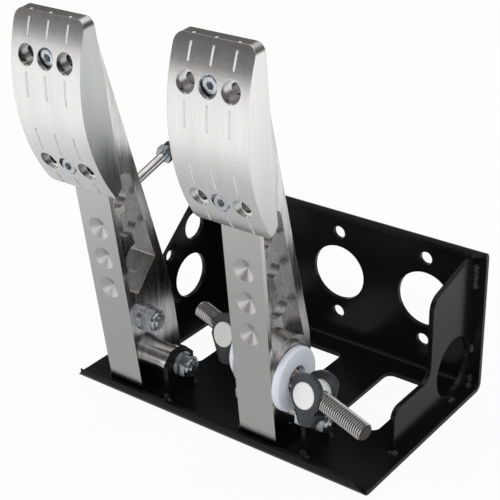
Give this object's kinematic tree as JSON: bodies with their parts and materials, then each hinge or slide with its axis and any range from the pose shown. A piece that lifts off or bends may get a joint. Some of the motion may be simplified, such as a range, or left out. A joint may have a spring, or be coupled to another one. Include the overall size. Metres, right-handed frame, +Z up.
{
  "type": "pedal box",
  "caption": "Floor-mounted pedal box: clutch and brake pedals on a folded steel frame, with a threaded balance bar through the brake arm and a back plate for master cylinders.",
  "frame": {"origin": "on the underside of the base sheet, straight below the pedal pivots and midway across the frame", "axes": "+X to the driver's right along the pivots, +Y from the driver to the back plate, +Z up"},
  "size_m": [0.2144, 0.1748, 0.2554],
  "materials": {
    "black_frame": "gloss powder coat on folded steel sheet",
    "weld": "powder coated weld bead",
    "arm_metal": "satin machined aluminium with polished sides",
    "pad_metal": "vertically brushed aluminium",
    "zinc": "bright zinc plated fastener",
    "polished": "polished turned spacer",
    "nickel": "nickel plated threaded bar",
    "barrel_steel": "turned steel, pale end faces",
    "anodised": "dark grey anodised aluminium",
    "nylon": "milky nylon",
    "bearing_steel": "ground bearing steel",
    "dark_steel": "blackened steel stud",
    "stop_rubber": "moulded rubber bumper"
  },
  "bodies": {
    "frame": {"base_sheet": "black_frame", "gusset_right": "black_frame", "gusset_left": "black_frame", "clutch_tab_left": "black_frame", "clutch_tab_right": "black_frame", "brake_tab_left": "black_frame", "brake_tab_right": "black_frame", "weld_beads": "weld", "clutch_pivot_bolt": "zinc", "clutch_pivot_washers": "zinc", "clutch_pivot_nut": "zinc", "clutch_pivot_sleeve": "polished", "brake_pivot_bolt": "zinc", "brake_pivot_washers": "zinc", "brake_pivot_nut": "zinc", "brake_pivot_sleeve": "polished", "clutch_side_spacer": "polished", "brake_side_spacers": "polished", "brake_neck_spacer": "polished"},
    "clutch_pedal": {"clutch_arm": "arm_metal", "clutch_pad": "pad_metal", "clutch_pad_screws": "zinc", "clutch_pivot_bushes": "polished", "clutch_rod_bolt": "zinc", "clutch_rod_washers": "zinc", "clutch_rod_nut": "zinc", "clutch_stop_stud": "dark_steel", "clutch_stop_nut": "zinc", "clutch_stop_bumper": "stop_rubber"},
    "brake_pedal": {"brake_arm": "arm_metal", "brake_pad": "pad_metal", "brake_pad_screws": "zinc", "brake_pivot_bushes": "polished", "bearing_race": "bearing_steel", "bearing_circlips": "dark_steel"},
    "balance_bar": {"balance_rod": "nickel", "bearing_ball": "bearing_steel"},
    "disc_left": {"nylon_disc_left": "nylon"},
    "barrel_left": {"barrel_nut_left": "barrel_steel"},
    "clevis_left": {"clevis_left": "anodised"},
    "disc_right": {"nylon_disc_right": "nylon"},
    "barrel_right": {"barrel_nut_right": "barrel_steel"},
    "clevis_right": {"clevis_right": "anodised"}
  },
  "joints": [
    {"name": "clutch_pivot", "type": "hinge", "parent": "frame", "child": "clutch_pedal", "pos_m": [-0.068, 0, 0.0238], "axis": [-1, 0, 0], "range_deg": [0, 28]},
    {"name": "brake_pivot", "type": "hinge", "parent": "frame", "child": "brake_pedal", "pos_m": [0.0331, 0, 0.0238], "axis": [-1, 0, 0], "range_deg": [0, 20]},
    {"name": "bar_swivel", "type": "hinge", "parent": "brake_pedal", "child": "balance_bar", "pos_m": [0.0331, -0.00407, 0.05236], "axis": [0, 0, 1], "range_deg": [-2, 4.5]},
    {"name": "disc_left_slide", "type": "slide", "parent": "brake_pedal", "child": "disc_left", "axis": [0, 1, 0], "range_m": [-0.00144, 0.00064]},
    {"name": "disc_right_slide", "type": "slide", "parent": "brake_pedal", "child": "disc_right", "axis": [0, 1, 0], "range_m": [-0.00064, 0.00144]},
    {"name": "barrel_left_turn", "type": "hinge", "parent": "balance_bar", "child": "barrel_left", "pos_m": [0.00093, 0.0023, 0.05756], "axis": [-0.9689, 0.1918, 0.1564], "range_deg": [-110, 250]},
    {"name": "barrel_right_turn", "type": "hinge", "parent": "balance_bar", "child": "barrel_right", "pos_m": [0.06643, -0.01067, 0.04698], "axis": [-0.9689, 0.1918, 0.1564], "range_deg": [0, 250]},
    {"name": "clevis_left_swing", "type": "hinge", "parent": "barrel_left", "child": "clevis_left", "pos_m": [0.00093, 0.0023, 0.05756], "axis": [-0.1373, -0.9423, 0.3052], "range_deg": [-6, 2]},
    {"name": "clevis_right_swing", "type": "hinge", "parent": "barrel_right", "child": "clevis_right", "pos_m": [0.06643, -0.01067, 0.04698], "axis": [-0.1373, -0.9423, 0.3052], "range_deg": [-6, 8]}
  ],
  "couplings": [
    {"joint": "disc_left_slide", "follows": "bar_swivel", "m_per_rad": -0.0175},
    {"joint": "disc_right_slide", "follows": "bar_swivel", "m_per_rad": 0.0175}
  ]
}
